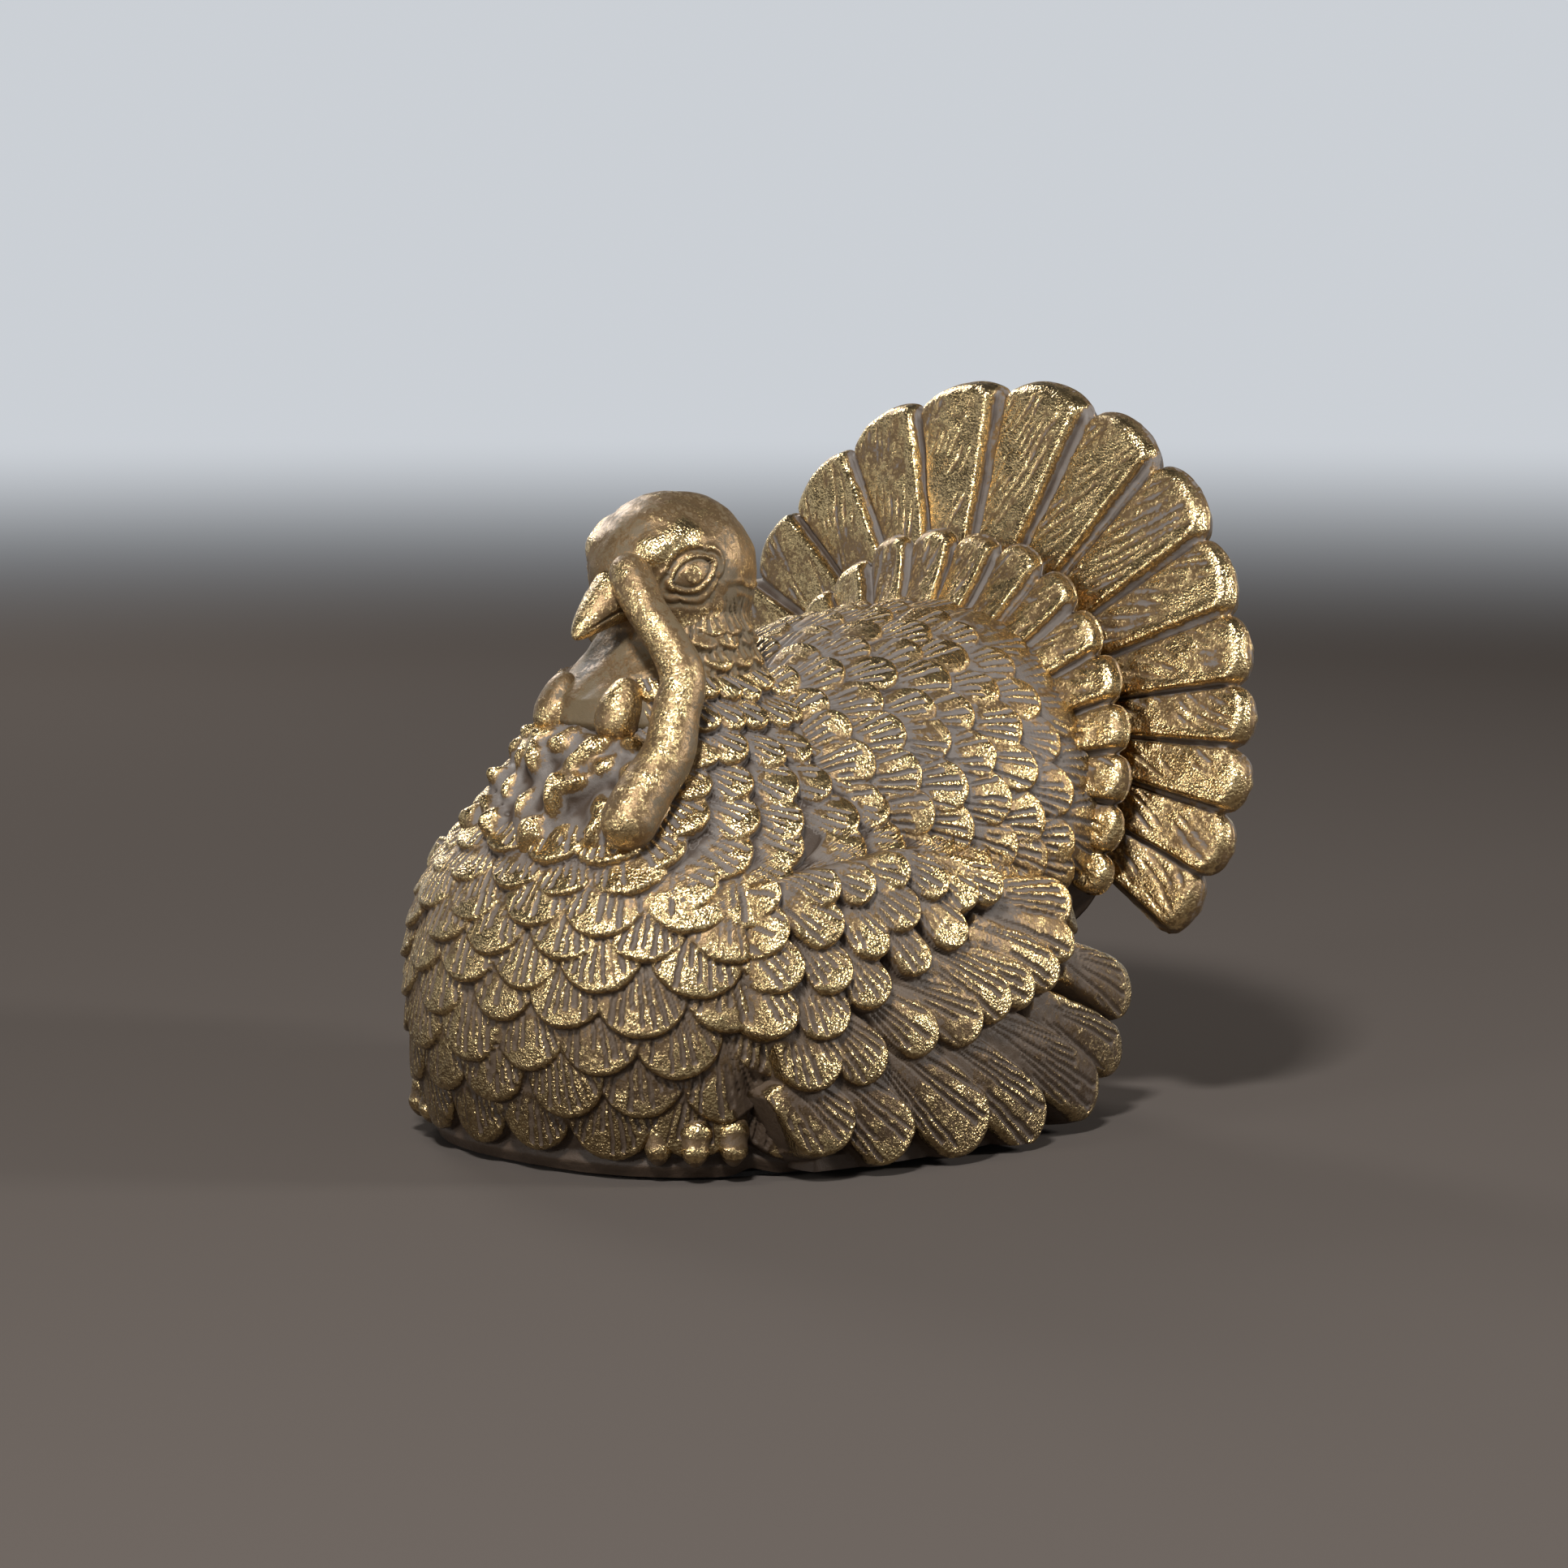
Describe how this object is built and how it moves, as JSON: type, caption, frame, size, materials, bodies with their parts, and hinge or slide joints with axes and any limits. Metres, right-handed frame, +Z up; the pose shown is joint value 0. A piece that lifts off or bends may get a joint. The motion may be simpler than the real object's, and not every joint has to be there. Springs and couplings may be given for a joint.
{
  "type": "turkey table figure",
  "caption": "Sitting turkey table figure with scalloped feathers, spread wings low at its sides, a round tail fan and a long snood hanging over its breast.",
  "frame": {"origin": "on the table under the middle of the body, in the middle of the felt's lower face", "axes": "+Z up, -Y the way the bird faces, +X the bird's left"},
  "size_m": [0.1438, 0.154, 0.1437],
  "materials": {
    "gilded_resin": "taupe resin with antique gold rubbed over the raised feathers",
    "gilded_resin_bright": "taupe resin with bright gold leaf rubbed over the raised parts",
    "gilded_resin_worn": "smooth resin with a darker, worn antique gold wash",
    "felt": "dark short-pile felt"
  },
  "bodies": {
    "root": {"body_casting": "gilded_resin", "tail_fan": "gilded_resin_bright", "tail_coverts": "gilded_resin", "head": "gilded_resin_worn", "snood": "gilded_resin_bright", "caruncle_bib": "gilded_resin", "wing_left": "gilded_resin", "wing_right": "gilded_resin", "wattle_left": "gilded_resin_worn", "wattle_right": "gilded_resin_worn", "foot_left": "gilded_resin_worn", "foot_right": "gilded_resin_worn", "base_felt": "felt"}
  },
  "joints": []
}
